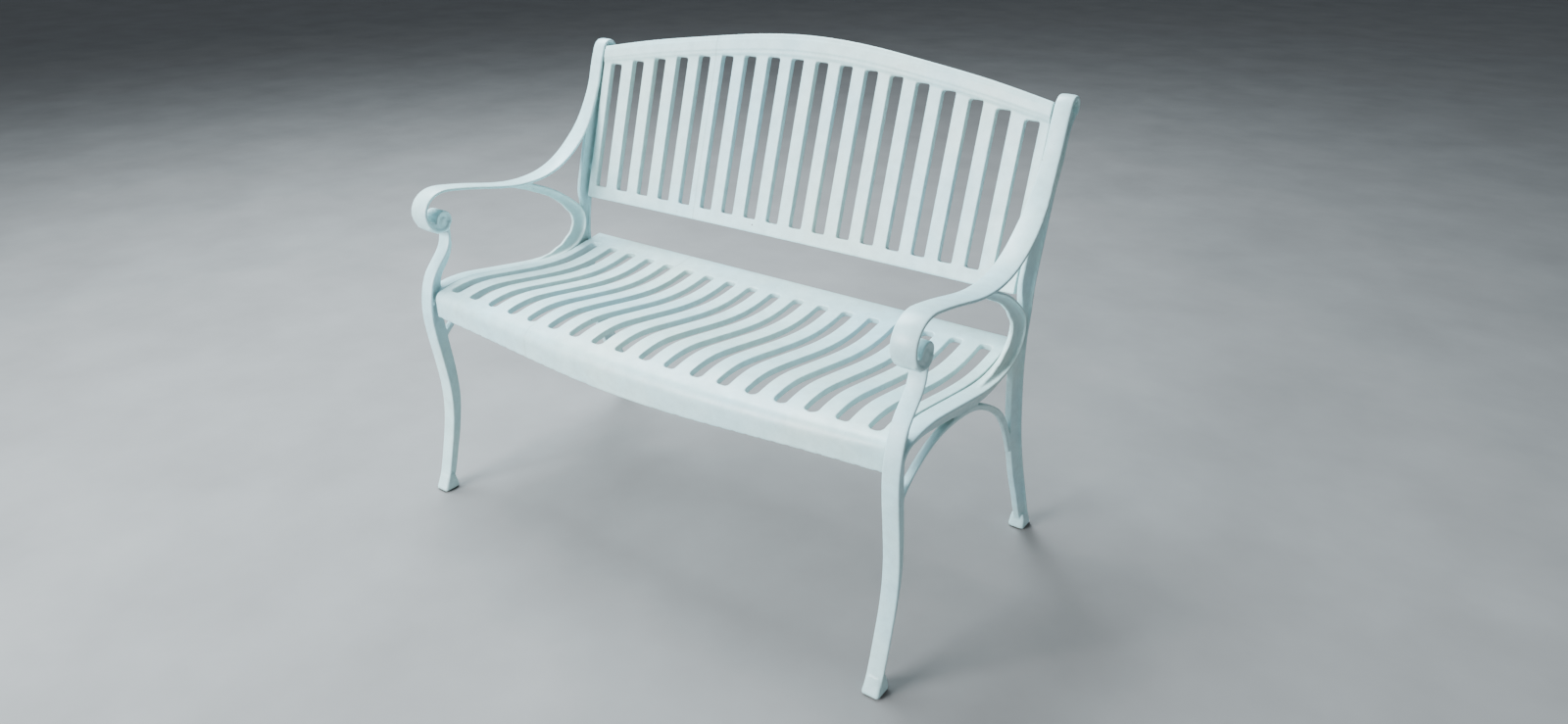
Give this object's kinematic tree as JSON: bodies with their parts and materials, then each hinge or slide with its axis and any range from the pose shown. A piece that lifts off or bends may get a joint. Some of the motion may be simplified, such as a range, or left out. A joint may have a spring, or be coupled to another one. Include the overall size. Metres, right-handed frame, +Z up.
{
  "type": "garden bench",
  "caption": "Cast-metal garden bench with scrolled arms, a slatted S-curved seat and a slatted arched back, on splayed curved legs.",
  "frame": {"origin": "on the ground under the middle of the bench's box", "axes": "+X along the length, to the right as seen from the front, -Y to the front, +Z up"},
  "size_m": [1.116, 0.6442, 0.9181],
  "materials": {
    "end_frame_coat": "satin powder coat, pale mint white",
    "seat_coat": "satin powder coat, pale mint white",
    "back_coat": "satin powder coat, pale mint white",
    "glide_plastic": "moulded black",
    "fastener_steel": "bright zinc"
  },
  "bodies": {
    "root": {"back_panel": "back_coat", "front_left_foot_glide": "glide_plastic", "front_right_foot_glide": "glide_plastic", "left_back_screw_1": "fastener_steel", "left_back_screw_2": "fastener_steel", "left_back_spring_washers": "fastener_steel", "left_back_washers": "fastener_steel", "left_end_frame": "end_frame_coat", "left_seat_screw_1": "fastener_steel", "left_seat_screw_2": "fastener_steel", "left_seat_screw_3": "fastener_steel", "left_seat_spring_washers": "fastener_steel", "left_seat_washers": "fastener_steel", "rear_left_foot_glide": "glide_plastic", "rear_right_foot_glide": "glide_plastic", "right_back_screw_1": "fastener_steel", "right_back_screw_2": "fastener_steel", "right_back_spring_washers": "fastener_steel", "right_back_washers": "fastener_steel", "right_end_frame": "end_frame_coat", "right_seat_screw_1": "fastener_steel", "right_seat_screw_2": "fastener_steel", "right_seat_screw_3": "fastener_steel", "right_seat_spring_washers": "fastener_steel", "right_seat_washers": "fastener_steel", "seat_panel": "seat_coat"}
  },
  "joints": []
}
